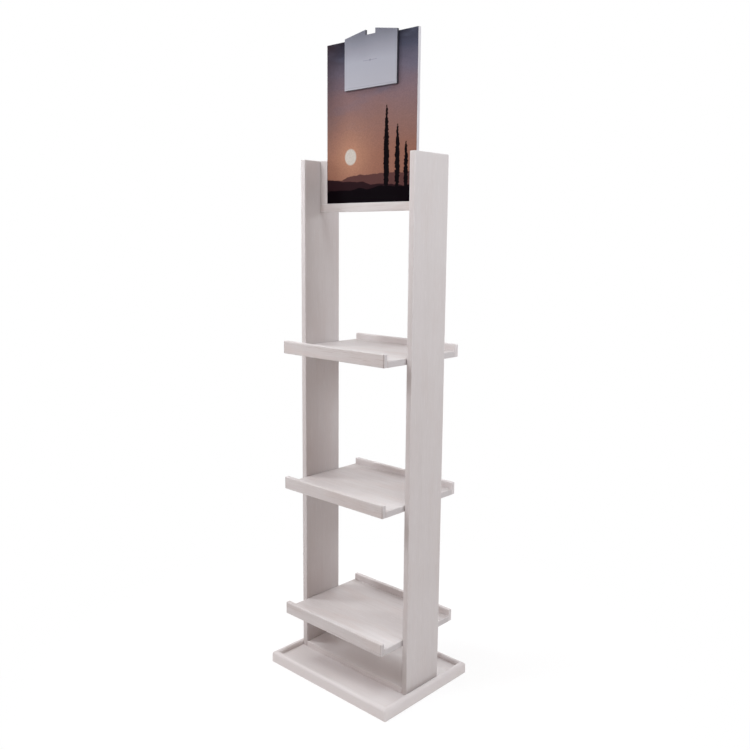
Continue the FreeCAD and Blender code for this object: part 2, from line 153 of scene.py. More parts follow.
def tint(tree, mask, strength, under, over):
    """Lay one colour over another where a mask says so, at most at this strength."""
    return mix(tree, times(tree, mask, strength), under, over)


def noise(tree, vector, scale, detail=2.0):
    """A cloudy pattern of values round a half."""
    sockets = {"Vector": vector, "Scale": scale, "Detail": detail}
    return put(tree, "ShaderNodeTexNoise", sockets).outputs["Fac"]


def mapped(tree, vector, how, value):
    """Coordinates after a Location, Rotation or Scale."""
    return put(tree, "ShaderNodeMapping", {"Vector": vector, how: value}).outputs[0]


def attribute(tree, name):
    """A value that the mesh carries at its corners."""
    return put(tree, "ShaderNodeAttribute", attribute_name=name).outputs["Fac"]


# %% [markdown]
# A group is a network that several materials share. It gets named inputs and outputs, and
# each material feeds it values of its own. The helpers below start and finish groups and
# materials, and lay their nodes out in columns, so that they can be read in the editor too.

# %% Helpers for groups and materials
COLUMN_WIDTH = 220
ROW_HEIGHT = 190


def new_group(name, inputs):
    """Start a node group. Its inputs come with their usual values, and None for a vector."""
    tree = bpy.data.node_groups.new(name, "ShaderNodeTree")
    for label, usual in inputs.items():
        kind = "NodeSocketVector" if usual is None else "NodeSocketFloat"
        socket = tree.interface.new_socket(name=label, in_out="INPUT", socket_type=kind)
        if usual is not None:
            socket.default_value = usual
    return tree, put(tree, "NodeGroupInput").outputs


def use_group(tree, group, sockets):
    """Place a group in a material, give it that material's own values, and get its outputs."""
    return put(tree, "ShaderNodeGroup", sockets, node_tree=group).outputs


def lay_out(tree, last):
    """Put every node in a column by its distance from the last one."""
    columns = {last: 0}
    waiting = [last]
    while waiting:
        current = waiting.pop()
        for link in tree.links:
            if link.to_node == current and columns.get(link.from_node, 0) <= columns[current]:
                columns[link.from_node] = columns[current] + 1
                waiting.append(link.from_node)
    rows = {}
    for item, column in columns.items():
        rows[column] = rows.get(column, 0) + 1
        item.location = (-column * COLUMN_WIDTH, -rows[column] * ROW_HEIGHT)


def finish_group(tree, results):
    """Give a group its named outputs, feed them, and lay the group out."""
    for label in results:
        tree.interface.new_socket(name=label, in_out="OUTPUT", socket_type="NodeSocketFloat")
    lay_out(tree, put(tree, "NodeGroupOutput", results))
    print("group", tree.name, "has", len(tree.nodes), "nodes")


def new_material(name):
    """Start a material: its Principled BSDF, and the object coordinates to feed it with."""
    material = bpy.data.materials.new(name)
    material.use_nodes = True
    tree = material.node_tree
    where = put(tree, "ShaderNodeTexCoord").outputs["Object"]
    return material, tree, tree.nodes["Principled BSDF"], where


def laid_out(material):
    """Lay the nodes of a finished material out, and hand it back."""
    lay_out(material.node_tree, material.node_tree.nodes["Material Output"])
    return material


def join(tree, source, shader, name):
    """Feed a value that changes over the surface to a socket of the shader."""
    tree.links.new(source, shader.inputs[name])


def dull(tree, mask, shader, low, high):
    """Let a mask move the roughness between two values."""
    join(tree, remap(tree, mask, 0.0, 1.0, low, high), shader, "Roughness")


def emboss(tree, height, shader, strength, distance):
    """Let a height tilt the normals, as a bump."""
    sockets = {"Height": height, "Strength": strength, "Distance": distance}
    join(tree, put(tree, "ShaderNodeBump", sockets).outputs[0], shader, "Normal")


def either(tree, share, first, second):
    """Mix two shaders by a share."""
    return put(tree, "ShaderNodeMixShader", {0: share, 1: first, 2: second}).outputs[0]


# %% [markdown]
# ## Grain under limewash
#
# Limed wood is brushed with white that stays in the pores and thins out on the hard rings,
# so the grain shows as faint streaks and bands, a shade apart. It could be a photograph of
# veneer wrapped round each board. A pattern worked out in space is better here: it runs
# through the board, so an end shows end grain, and it needs no seams. The group takes
# coordinates already turned so that the grain runs along X. It gives masks for the bands,
# fibres, bare rings and limed pores, and a height for the bump.

# %% Node group: grain
BOARD_STEP = (1.37, 0.61, 0.29)

grain, given = new_group("Grain", {
    "Vector": None, "Board": 0.0, "Band Scale": 70.0, "Fibre Scale": 420.0, "Stretch": 0.035,
    "Waviness": 0.004})
shift = put(grain, "ShaderNodeCombineXYZ", {
    name: times(grain, given["Board"], step) for name, step in zip("XYZ", BOARD_STEP)})
own_place = put(grain, "ShaderNodeVectorMath", {0: given["Vector"], 1: shift.outputs[0]})
sway = put(grain, "ShaderNodeTexNoise", {
    "Vector": own_place.outputs[0], "Scale": 4.0, "Detail": 1.0})
sway_parts = put(grain, "ShaderNodeSeparateXYZ", {0: sway.outputs["Color"]})
bend = put(grain, "ShaderNodeCombineXYZ", {
    "Y": times(grain, sway_parts.outputs[0], given["Waviness"]),
    "Z": times(grain, sway_parts.outputs[1], given["Waviness"])})
bent = put(grain, "ShaderNodeVectorMath", {0: own_place.outputs[0], 1: bend.outputs[0]})
squeeze = put(grain, "ShaderNodeCombineXYZ", {"X": given["Stretch"], "Y": 1.0, "Z": 1.0})
streaks = put(grain, "ShaderNodeVectorMath", {0: bent.outputs[0], 1: squeeze.outputs[0]},
              operation="MULTIPLY").outputs[0]
bands = noise(grain, streaks, given["Band Scale"], 3.0)
fibres = noise(grain, streaks, given["Fibre Scale"])
pores = noise(grain, streaks, times(grain, given["Fibre Scale"], 1.9), 1.0)
band_mask = remap(grain, bands, 0.34, 0.66, smooth=True)
fibre_mask = remap(grain, fibres, 0.32, 0.68)
pore_mask = remap(grain, pores, 0.60, 0.72, smooth=True)
ring_mask = times(grain, remap(grain, bands, 0.5, 0.62, smooth=True),
                  remap(grain, fibres, 0.54, 0.66, smooth=True))
relief = calc(grain, "ADD", times(grain, band_mask, 0.35), fibre_mask)
finish_group(grain, {
    "Bands": band_mask, "Fibres": fibre_mask, "Rings": ring_mask, "Pores": pore_mask,
    "Height": calc(grain, "SUBTRACT", relief, pore_mask)})

# %% [markdown]
# ## Handled edges, with a painted highlight
#
# Arrises are where a board is touched, knocked and rubbed thin by the sander. Each piece
# made below carries an attribute called edge: 1 on its rounded edges, fading to 0 a few
# millimetres in. This group breaks that clean band up with noise, so that the mark comes
# and goes along the edge. The wood, the print and the plate all use it with their own values.
# On the wood, the panel board and the plate's core it lays a paler colour on the rounded
# edge, which is partly wear and partly a painted highlight; on the print it darkens the edge
# as wear.

# %% Node group: edge wear and painted highlight
edge_wear_and_highlight, given = new_group("Edge wear and highlight", {"Vector": None, "Amount": 0.5, "Patch Scale": 30.0})
patches = noise(edge_wear_and_highlight, given["Vector"], given["Patch Scale"], 4.0)
near_edge = remap(edge_wear_and_highlight, attribute(edge_wear_and_highlight, "edge"), 0.55, 1.0, smooth=True)
worn_and_lit_edge = times(edge_wear_and_highlight, near_edge, remap(edge_wear_and_highlight, patches, 0.3, 0.7))
finish_group(edge_wear_and_highlight, {"Mask": times(edge_wear_and_highlight, worn_and_lit_edge, given["Amount"])})

# %% [markdown]
# ## Smudges and dust
#
# No painted surface is one even shade. Hands and dusters leave soft cloudy patches a
# hand's width across, and fine specks. One group makes both, and each material decides
# how strongly they tint its colour and its gloss.

# %% Node group: smudges
smudges, given = new_group("Smudges", {"Vector": None, "Cloud Scale": 7.0, "Speck Scale": 900.0})
clouds = noise(smudges, given["Vector"], given["Cloud Scale"], 4.0)
specks = noise(smudges, given["Vector"], given["Speck Scale"], 1.0)
finish_group(smudges, {
    "Clouds": remap(smudges, clouds, 0.3, 0.7), "Specks": remap(smudges, specks, 0.62, 0.75)})

# %% [markdown]
# ## Limed wood
#
# The finish is a warm grey white, satin rather than gloss. Grain must run the long way of
# each board, as it does on any shelf or upright, because wood is cut so for strength. One
# function makes the finish three times, turned by a Mapping node to run along X, Y or Z,
# and a fourth time for the base board, which carries no attribute and has a fixed lift
# toward a paler white, which is painted light. Where a face looks along the grain it is an
# end, which drinks more of the wash and stays a little greyer. Two attributes tell the boards
# apart: board moves the pattern, so that no two match, and the other is painted light and
# shade set piece by piece. Above zero it lifts a board toward a paler white, as on the rim,
# the bottom board and the back lips, which is painted light. Below zero, on the front lips,
# it lets more bare rings show as brown streaks, partly grain and partly painted shade, and
# draws a dark line just inside each end of a lip's front.

# %% Material: limed wood
LIMED_LIGHT = paint(210, 204, 203)
LIMED_DARK = paint(200, 193, 191)
BARE_RING = paint(182, 170, 165)
LIMED_END = paint(198, 193, 193)
LIME_IN_PORES = paint(219, 214, 214)
# The paler white that painted light lifts a piece toward
PAINTED_LIGHT_PALE = paint(232, 226, 225)
WARM_PATCH = paint(200, 184, 178)
# Paler edge colour: partly wear, partly a painted highlight on the rounded arris
WORN_EDGE_HIGHLIGHT = paint(222, 216, 216)
# Colour of the dark line drawn just inside each end of a front lip
LIP_END_LINE_DARK = paint(112, 96, 92)
FIGURE_DEPTH = {"x": 1.4, "y": 1.4, "z": 0.55}
TURN_TO_X = {"x": (0, 0, 0), "y": (0, 0, -math.pi / 2), "z": (0, math.pi / 2, 0)}
PATCH_STRETCH = (0.22, 1.0, 1.0)
PATCH_SCALE = 24.0
LIP_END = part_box("shelf_lip_front_low")[1].x
CORNER_LINE = 0.0022
CORNER_LINE_FADE = (0.0005, 0.0026)
WOOD_GLOSS = 0.42


def corner_line(tree, where, looks_back, bare_and_painted_shade, clouds):
    """A dark line just inside each end of a lip's front."""
    parts = put(tree, "ShaderNodeSeparateXYZ", {0: where})
    from_end = calc(tree, "SUBTRACT", LIP_END, calc(tree, "ABSOLUTE", parts.outputs[0]))
    off_line = calc(tree, "ABSOLUTE", calc(tree, "SUBTRACT", from_end, CORNER_LINE))
    line = remap(tree, off_line, *CORNER_LINE_FADE, 1.0, 0.0)
    line = times(tree, line, remap(tree, bare_and_painted_shade, 0.1, 0.8))
    line = times(tree, line, remap(tree, clouds, 0.0, 0.8, 0.4, 1.0))
    return times(tree, line, remap(tree, looks_back, -0.3, -0.8))


def limed_wood(along, name, own_painted_light=0.0):
    """Limed wood with its grain along x, y or z, and a painted light of its own for the whole part,
    a lift toward a paler white.
    """
    material, tree, shader, where = new_material(name)
    turned = mapped(tree, where, "Rotation", TURN_TO_X[along])
    painted_light_and_shade = attribute(tree, "painted_light_and_shade")
    figure = use_group(tree, grain, {"Vector": turned, "Board": attribute(tree, "board")})
    worn_and_highlit = use_group(tree, edge_wear_and_highlight, {"Vector": where, "Amount": 0.55})
    clouds = use_group(tree, smudges, {"Vector": where})["Clouds"]
    normal = put(tree, "ShaderNodeTexCoord").outputs["Normal"]
    facing = put(tree, "ShaderNodeSeparateXYZ", {0: normal})
    end = remap(tree, calc(tree, "ABSOLUTE", facing.outputs["xyz".index(along)]), 0.85, 0.97)
    depth = FIGURE_DEPTH[along]
    banded = tint(tree, figure["Bands"], 0.3 * depth, LIMED_LIGHT, LIMED_DARK)
    fibrous = tint(tree, figure["Fibres"], 0.3 * depth, banded, LIMED_DARK)
    clouded = tint(tree, clouds, 0.3, fibrous, LIMED_DARK)
    drift = noise(tree, mapped(tree, turned, "Scale", PATCH_STRETCH), PATCH_SCALE, 3.0)
    warmth = remap(tree, drift, 0.48, 0.68, 0.0, 0.22 * depth, smooth=True)
    warmed = mix(tree, warmth, clouded, WARM_PATCH)
    ended = tint(tree, end, 0.8, warmed, LIMED_END)
    # Below zero the per-piece value is painted shade: more bare rings and the lip end line
    bare_and_painted_shade = remap(tree, painted_light_and_shade, 0.0, -1.0)
    thin = times(tree, figure["Rings"], calc(tree, "SUBTRACT", 1.0, end))
    ring_share = times(tree, thin, calc(tree, "ADD", bare_and_painted_shade, 0.25 * depth), clamp=True)
    ringed = mix(tree, ring_share, ended, BARE_RING)
    filled = tint(tree, figure["Pores"], 0.6, ringed, LIME_IN_PORES)
    # Painted light: a piece's lift toward a paler white brightens it all over
    lifted_by_painted_light = mix(tree, calc(tree, "ADD", painted_light_and_shade, own_painted_light, clamp=True), filled, PAINTED_LIGHT_PALE)
    # Paler rounded edges: partly wear, partly a painted highlight
    finished = mix(tree, worn_and_highlit["Mask"], lifted_by_painted_light, WORN_EDGE_HIGHLIGHT)
    line = corner_line(tree, where, facing.outputs[1], bare_and_painted_shade, clouds)
    join(tree, tint(tree, line, 0.8, finished, LIP_END_LINE_DARK), shader, "Base Color")
    gloss = times(tree, clouds, 0.10)
    gloss = calc(tree, "ADD", gloss, times(tree, figure["Pores"], 0.15))
    join(tree, calc(tree, "ADD", gloss, WOOD_GLOSS), shader, "Roughness")
    emboss(tree, figure["Height"], shader, 0.25, 0.0004)
    shader.inputs["Specular IOR Level"].default_value = 0.4
    return laid_out(material)


limed = {along: limed_wood(along, "limed_wood_" + along) for along in "xyz"}
# The base board's fixed lift toward white is painted light
limed_base = limed_wood("x", "limed_base", 0.55)
print("limed wood:", [material.name for material in limed.values()], "and", limed_base.name)

# %% [markdown]
# ## Rounded boards
#
# Every board is a block with its edges eased by the router: a millimetre or two, and more
# on the lips, which hands meet first. It could be a cube with a Bevel modifier. Making the
# bevel in the mesh lets the next step mark it: each flat face is inset by a few
# millimetres, or less where it is narrow, and the edge attribute fades across that ring.

# %% Helpers for pieces
RING = 0.0035
RING_SHARE = 0.3
# How straight a normal must be to count as square, and three small lengths in metres
FLAT = 0.99999
TOUCH = 1e-6
NEAR = 1e-5
HAIR = 1e-4
SHARP_ANGLE = math.radians(40)
board_count = 0


def ease_edges(bm, radius, edges=None, segments=4):
    """Round some or all edges of a mesh by a radius."""
    bmesh.ops.bevel(bm, geom=list(edges or bm.edges), offset=radius, offset_type="OFFSET",
                    affect="EDGES", segments=segments, profile=0.5, material=-1,
                    clamp_overlap=True)


def is_flat(face):
    """Whether a face is square to the axes, and not part of a rounded edge."""
    return max(abs(part) for part in face.normal) > FLAT


def mark_edges(bm):
    """Inset each flat face, less on a narrow one, and mark all outside the insets as edge."""
    flats = [face for face in bm.faces if is_flat(face)]
    for face in flats:
        shortest = min(edge.calc_length() for edge in face.edges)
        bmesh.ops.inset_individual(bm, faces=[face], thickness=min(RING, RING_SHARE * shortest),
                                   depth=0, use_even_offset=True)
    layer = bm.verts.layers.float.new("edge")
    for corner in bm.verts:
        corner[layer] = 1.0
    for face in flats:
        for corner in face.verts:
            corner[layer] = 0.0


def set_board(bm, painted_light_and_shade=0.0):
    """Give the piece a number of its own, which moves its grain, and its painted light and shade: a
    lift toward paler white above zero, more bare streaks below it.
    """
    global board_count
    board_count += 1
    board_layer = bm.verts.layers.float.new("board")
    painted_light_layer = bm.verts.layers.float.new("painted_light_and_shade")
    for corner in bm.verts:
        corner[board_layer] = float(board_count)
        corner[painted_light_layer] = painted_light_and_shade


def finish_piece(bm, name, materials, nodes):
    """Turn a mesh into a shaded object that rides on the stand and stands for its parts."""
    bmesh.ops.recalc_face_normals(bm, faces=bm.faces)
    mesh = bpy.data.meshes.new(name)
    bm.to_mesh(mesh)
    bm.free()
    mesh.shade_smooth()
    mesh.set_sharp_from_angle(angle=SHARP_ANGLE)
    for material in materials:
        mesh.materials.append(material)
    piece = show(name, mesh)
    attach(piece, "root")
    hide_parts(*nodes)
    print(f"{name}: {len(mesh.polygons)} faces")
    return piece


def block(low, high):
    """A closed block between two corners."""
    bm = bmesh.new()
    bmesh.ops.create_cube(bm, size=1)
    bmesh.ops.scale(bm, vec=high - low, verts=bm.verts)
    bmesh.ops.translate(bm, vec=(low + high) / 2, verts=bm.verts)
    return bm


def rounded_board(node, along, radius, painted_light_and_shade=0.0):
    """A limed board in the place of a measured one, with its edges eased."""
    bm = block(*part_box(node))
    ease_edges(bm, radius)
    mark_edges(bm)
    set_board(bm, painted_light_and_shade)
    return finish_piece(bm, "limed_" + node, [limed[along]], [node])


# %% [markdown]
# ## Uprights, shelves and lips
#
# Two uprights carry everything, so their grain stands up. The bottom board lies between
# their feet. A shelf is a flat board between the uprights with a lip glued along its front
# and back, so that bottles can't walk off. Eased by 1.5 mm, boards catch a thin line of
# light, and the lips, eased by 2.5 mm, a wider one.

# %% Make the uprights, shelves and lips
BOARD_ROUND = 0.0015
LIP_ROUND = 0.0025
# Painted light per piece: the bottom board and back lips are lifted toward white, and the front
# lips get more bare streaks, partly grain and partly painted shade
BOTTOM_PAINTED_LIGHT = 0.7
BACK_LIP_PAINTED_LIGHT = 0.45
FRONT_LIP_STREAKS_AND_SHADE = {"low": -0.35, "middle": -0.45, "top": -0.75}

for side in ("left", "right"):
    rounded_board("upright_" + side, "z", BOARD_ROUND)
rounded_board("bottom_board", "x", BOARD_ROUND, BOTTOM_PAINTED_LIGHT)
for level, front_streaks_and_shade in FRONT_LIP_STREAKS_AND_SHADE.items():
    rounded_board("shelf_board_" + level, "x", BOARD_ROUND)
    rounded_board("shelf_lip_front_" + level, "x", LIP_ROUND, front_streaks_and_shade)
    rounded_board("shelf_lip_back_" + level, "x", LIP_ROUND, BACK_LIP_PAINTED_LIGHT)

# %% [markdown]
# ## The base and its rim
#
# The base board is a plain board whose edges the rim hides, so the measured part stays and
# only takes the finish. The rim is a moulding with a half-round top, cut at 45 degrees
# where two lengths meet. A moulding can be swept along a path. It is simpler to round the
# top of a block right over, cut both ends with a plane as a mitre saw does, and leave
# about a tenth of a millimetre of air there, so that each corner shows its fine joint.

# %% Make the base and rim
MITRE_GAP = 0.0001
# The rim's lift toward white is painted light
RIM_PAINTED_LIGHT = 0.75
ROUND_STEPS = 10


def cut_away(bm, point, outward):
    """Saw through the mesh, drop what lies outside the cut, and close it."""
    cut = bmesh.ops.bisect_plane(bm, geom=bm.verts[:] + bm.edges[:] + bm.faces[:],
                                 plane_co=point, plane_no=outward, clear_outer=True)
    cut_edges = [item for item in cut["geom_cut"] if isinstance(item, bmesh.types.BMEdge)]
    bmesh.ops.contextual_create(bm, geom=cut_edges)


def rim_length(side, along, outward):
    """One length of rim, rounded over on top and mitred at both ends."""
    low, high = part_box("base_rim_" + side)
    bm = block(low, high)
    top_edges = [edge for edge in bm.edges
                 if all(corner.co.z > high.z - HAIR for corner in edge.verts)
                 and abs((edge.verts[1].co - edge.verts[0].co)["xyz".index(along)]) > HAIR]
    width = min(high.x - low.x, high.y - low.y)
    ease_edges(bm, width / 2, top_edges, ROUND_STEPS)
    bmesh.ops.remove_doubles(bm, verts=bm.verts, dist=NEAR)
    middle = (low + high) / 2
    direction = Vector((1, 0, 0)) if along == "x" else Vector((0, 1, 0))
    half_length = (high - low).dot(direction) / 2
    for way in (-1, 1):
        corner = middle + direction * way * (half_length - MITRE_GAP) + outward * width / 2
        cut_away(bm, corner, direction * way - outward)
    mark_edges(bm)
    set_board(bm, RIM_PAINTED_LIGHT)
    return finish_piece(bm, "limed_rim_" + side, [limed[along]], ["base_rim_" + side])


rim_length("front", "x", Vector((0, -1, 0)))
rim_length("back", "x", Vector((0, 1, 0)))
rim_length("left", "y", Vector((-1, 0, 0)))
rim_length("right", "y", Vector((1, 0, 0)))
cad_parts["base_board"].data.materials.clear()
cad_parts["base_board"].data.materials.append(limed_base)

# %% [markdown]
# ## The header frame
#
# A rail and two stiles make a U between the heads of the uprights. Each is rebated, so the
# panel drops in from the front and rests against a ledge. The shape is a profile with a
# step in it, drawn as a few points and extruded along the piece. The stile's foot is cut
# back where the rail's ledge passes behind the panel.

# %% Make the header frame
FRAME_ROUND = 0.001
LEDGE_WIDTH = 0.008
PANEL_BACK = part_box("header_panel")[1].y


def profile_face(bm, points):
    """A flat face through a few corner points."""
    return bm.faces.new([bm.verts.new(point) for point in points])


def push_out(bm, faces, move):
    """Extrude faces into a solid by a distance."""
    made = bmesh.ops.extrude_face_region(bm, geom=faces)["geom"]
    corners = [item for item in made if isinstance(item, bmesh.types.BMVert)]
    bmesh.ops.translate(bm, vec=move, verts=corners)
    return [item for item in made if isinstance(item, bmesh.types.BMFace)]


def frame_rail():
    """The rail, with a ledge standing up behind the panel."""
    low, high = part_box("header_rail")
    seat = high.z - LEDGE_WIDTH
    corners = [(low.x, low.y, low.z), (low.x, high.y, low.z), (low.x, high.y, high.z),
               (low.x, PANEL_BACK, high.z), (low.x, PANEL_BACK, seat), (low.x, low.y, seat)]
    bm = bmesh.new()
    push_out(bm, [profile_face(bm, corners)], Vector((high.x - low.x, 0, 0)))
    ease_edges(bm, FRAME_ROUND, segments=3)
    mark_edges(bm)
    set_board(bm)
    return finish_piece(bm, "limed_header_rail", [limed["x"]], ["header_rail"])


def frame_stile(side, outer, inner):
    """A stile, its foot cut back over the rail's ledge. Outer and inner are places in X."""
    node = "header_stile_" + side
    low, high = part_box(node)
    step = inner + math.copysign(LEDGE_WIDTH, outer)
    foot = low.z + LEDGE_WIDTH
    corners = [(outer, low.y, foot), (step, low.y, foot), (step, PANEL_BACK, foot),
               (inner, PANEL_BACK, foot), (inner, high.y, foot), (outer, high.y, foot)]
    bm = bmesh.new()
    push_out(bm, [profile_face(bm, corners)], Vector((0, 0, high.z - foot)))
    bmesh.ops.bisect_plane(bm, geom=bm.verts[:] + bm.edges[:] + bm.faces[:], dist=TOUCH,
                           plane_co=(0, PANEL_BACK, 0), plane_no=(0, 1, 0))
    soles = [face for face in bm.faces
             if all(abs(corner.co.z - foot) < TOUCH for corner in face.verts)
             and face.calc_center_median().y < PANEL_BACK]
    push_out(bm, soles, Vector((0, 0, low.z - foot)))
    bmesh.ops.delete(bm, geom=soles, context="FACES_ONLY")
    bmesh.ops.remove_doubles(bm, verts=bm.verts, dist=TOUCH)
    bmesh.ops.dissolve_limit(bm, angle_limit=math.radians(1), verts=bm.verts, edges=bm.edges)
    ease_edges(bm, FRAME_ROUND, segments=3)
    mark_edges(bm)
    set_board(bm)
    return finish_piece(bm, "limed_" + node, [limed["z"]], [node])


frame_rail()
left_low, left_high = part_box("header_stile_left")
right_low, right_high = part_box("header_stile_right")
frame_stile("left", left_low.x, left_high.x)
frame_stile("right", right_high.x, right_low.x)

# %% [markdown]
# ## The printed panel
#
# The panel is a stiff white board with a print on its front, cut with a knife, so its
# edges are sharp and pale. The print is a generic evening landscape. It could be an image
# file, but a print drawn with nodes needs none: a ramp gives the sky, rings of light the
# low sun, noise the clouds, and repeated groups draw the ridges and the trees.

# %% Node groups: ridge and tree
ridge, given = new_group("Ridge", {
    "Across": 0.0, "Up": 0.0, "Height": 0.05, "Roll": 0.02, "Tilt": 0.0, "Seed": 0.0,
    "Fineness": 9.0})
skyline = put(ridge, "ShaderNodeTexNoise", {
    "W": calc(ridge, "ADD", given["Across"], given["Seed"]),
    "Scale": given["Fineness"], "Detail": 5.0}, noise_dimensions="1D").outputs["Fac"]
rolling = times(ridge, calc(ridge, "SUBTRACT", skyline, 0.5), given["Roll"])
leaning = times(ridge, given["Across"], given["Tilt"])
crest = calc(ridge, "ADD", calc(ridge, "ADD", given["Height"], rolling), leaning)
below = calc(ridge, "SUBTRACT", crest, given["Up"])
finish_group(ridge, {"Mask": remap(ridge, below, -0.0008, 0.0008)})

cypress, given = new_group("Cypress", {
    "Across": 0.0, "Up": 0.0, "Place": 0.0, "Foot": 0.05, "Height": 0.15, "Half Width": 0.012,
    "Leaves": 0.0})
from_foot = calc(cypress, "SUBTRACT", given["Up"], given["Foot"])
share_up = calc(cypress, "DIVIDE", from_foot, given["Height"], clamp=True)
taper = calc(cypress, "POWER", calc(cypress, "SUBTRACT", 1.0, share_up), 0.6)
swell = calc(cypress, "POWER", calc(cypress, "ADD", share_up, 0.03), 0.3)
outline = times(cypress, times(cypress, taper, swell), given["Half Width"])
ragged = times(cypress, calc(cypress, "SUBTRACT", given["Leaves"], 0.5), 0.012)
aside = calc(cypress, "ABSOLUTE", calc(cypress, "SUBTRACT", given["Across"], given["Place"]))
inside = calc(cypress, "SUBTRACT", calc(cypress, "ADD", outline, ragged), aside)
shape = remap(cypress, inside, -0.0004, 0.0006)
reach = remap(cypress, share_up, 0.985, 1.0, 1.0, 0.0)
above_foot = calc(cypress, "GREATER_THAN", from_foot, 0.0)
finish_group(cypress, {"Mask": times(cypress, times(cypress, shape, reach), above_foot)})

# %% [markdown]
# The sky turns from slate blue at the top, through mauve, to a dull orange near the
# ground, as in any late evening. The sun stands low at the left, and three cypresses and
# the dark foreground are cut out against it. Each layer is mixed over the one behind it,
# from far to near, as a screen printer lays down inks. The ink has almost no sheen, since
# any reflection of the white room would turn its blacks grey.

# %% Material: evening print
SKY = [
    (0.10, paint(146, 101, 84)),
    (0.30, paint(148, 104, 88)),
    (0.50, paint(142, 108, 100)),
    (0.66, paint(134, 108, 110)),
    (0.80, paint(108, 100, 114)),
    (0.92, paint(60, 61, 76)),
    (1.00, paint(24, 26, 36)),
]
SUN_PLACE = (-0.075, 0, 0.128)
SUN_RIM = (0.021, 0.026)
HALO_RADIUS = 0.16
CYPRESSES = [
    (0.062, 0.040, 0.220, 0.017),
    (0.102, 0.038, 0.170, 0.015),
    (0.133, 0.036, 0.124, 0.013),
]
RIDGES = [
    (0.076, 0.046, 0.08, 3.1, 7.0, paint(88, 58, 56)),
    (0.054, 0.030, -0.08, 8.4, 9.0, paint(40, 23, 27)),
    (0.040, 0.016, 0.03, 5.7, 14.0, paint(9, 4, 8)),
]
TREE_INK = paint(10, 5, 8)
PANEL_FOOT, PANEL_HEAD = (corner.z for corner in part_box("header_panel"))


def evening_sky(tree, on_panel, across, up):
    """The sky with its sun, high cloud at the right, dusk at the left and a grain of ink."""
    cloud = noise(tree, mapped(tree, on_panel, "Scale", (1, 1, 3.2)), 9.0, 5.0)
    drift = times(tree, calc(tree, "SUBTRACT", cloud, 0.5), 0.05)
    share = calc(tree, "DIVIDE", calc(tree, "ADD", up, drift), PANEL_HEAD - PANEL_FOOT)
    ramp = put(tree, "ShaderNodeValToRGB", {"Fac": share})
    while len(ramp.color_ramp.elements) < len(SKY):
        ramp.color_ramp.elements.new(0.5)
    for stop, (position, colour) in zip(ramp.color_ramp.elements, SKY):
        stop.position = position
        stop.color = colour
    away = put(tree, "ShaderNodeVectorMath", {0: on_panel, 1: SUN_PLACE},
               operation="DISTANCE").outputs["Value"]
    halo = calc(tree, "POWER", remap(tree, away, 0.0, HALO_RADIUS, 1.0, 0.0), 2.2)
    picture = tint(tree, halo, 0.75, ramp.outputs[0], paint(206, 154, 124))
    disc = remap(tree, away, *SUN_RIM, 1.0, 0.0, smooth=True)
    picture = mix(tree, disc, picture, paint(206, 199, 190))
    lit_side = remap(tree, across, 0.04, 0.22)
    high_cloud = calc(tree, "MAXIMUM", remap(tree, cloud, 0.52, 0.72), lit_side)
    high_cloud = times(tree, high_cloud, remap(tree, up, 0.16, 0.36))
    picture = tint(tree, high_cloud, 0.4, picture, paint(108, 112, 132))
    dusk = remap(tree, across, -0.085, -0.17, 0.0, 0.65)
    dusk = times(tree, dusk, remap(tree, up, 0.10, 0.34))
    picture = mix(tree, dusk, picture, paint(58, 44, 48))
    ink = remap(tree, noise(tree, on_panel, 420.0), 0.35, 0.65, 0.0, 0.2)
    return mix(tree, ink, picture, paint(60, 50, 56))


def evening_print():
    """A generic evening landscape, printed on the front of the panel."""
    material, tree, shader, where = new_material("evening_print")
    on_panel = mapped(tree, where, "Location", (0, 0, -PANEL_FOOT))
    parts = put(tree, "ShaderNodeSeparateXYZ", {0: on_panel})
    across, up = parts.outputs[0], parts.outputs[2]
    picture = evening_sky(tree, on_panel, across, up)
    leaves = noise(tree, on_panel, 160.0, 3.0)
    for height, roll, tilt, seed, fineness, colour in RIDGES:
        hill = use_group(tree, ridge, {"Across": across, "Up": up, "Height": height, "Roll": roll,
                                       "Tilt": tilt, "Seed": seed, "Fineness": fineness})
        picture = mix(tree, hill["Mask"], picture, colour)
    for middle, foot, height, half_width in CYPRESSES:
        tall = use_group(tree, cypress, {"Across": across, "Up": up, "Place": middle, "Foot": foot,
                                         "Height": height, "Half Width": half_width,
                                         "Leaves": leaves})
        picture = mix(tree, tall["Mask"], picture, TREE_INK)
    worn_and_highlit = use_group(tree, edge_wear_and_highlight, {"Vector": where, "Amount": 0.3, "Patch Scale": 60.0})
    marks = use_group(tree, smudges, {"Vector": where, "Cloud Scale": 11.0})
    picture = tint(tree, worn_and_highlit["Mask"], 0.5, picture, paint(84, 78, 82))
    join(tree, picture, shader, "Base Color")
    dull(tree, marks["Clouds"], shader, 0.42, 0.56)
    shader.inputs["Specular IOR Level"].default_value = 0.01
    return laid_out(material)


print_face = evening_print()
print("print has", len(print_face.node_tree.nodes), "nodes")

# %% [markdown]
# ## Panel board, plate face and plate core
#
# What isn't printed on the panel is its board: white, slightly fibrous on the cut edges.
# The sign plate is a laminate: a pale satin face on a dark core, which shows as a dark line
# all round where the face has been routed away. All three are smooth sheet goods that
# differ in colour and gloss, so one function makes them from a few named values.

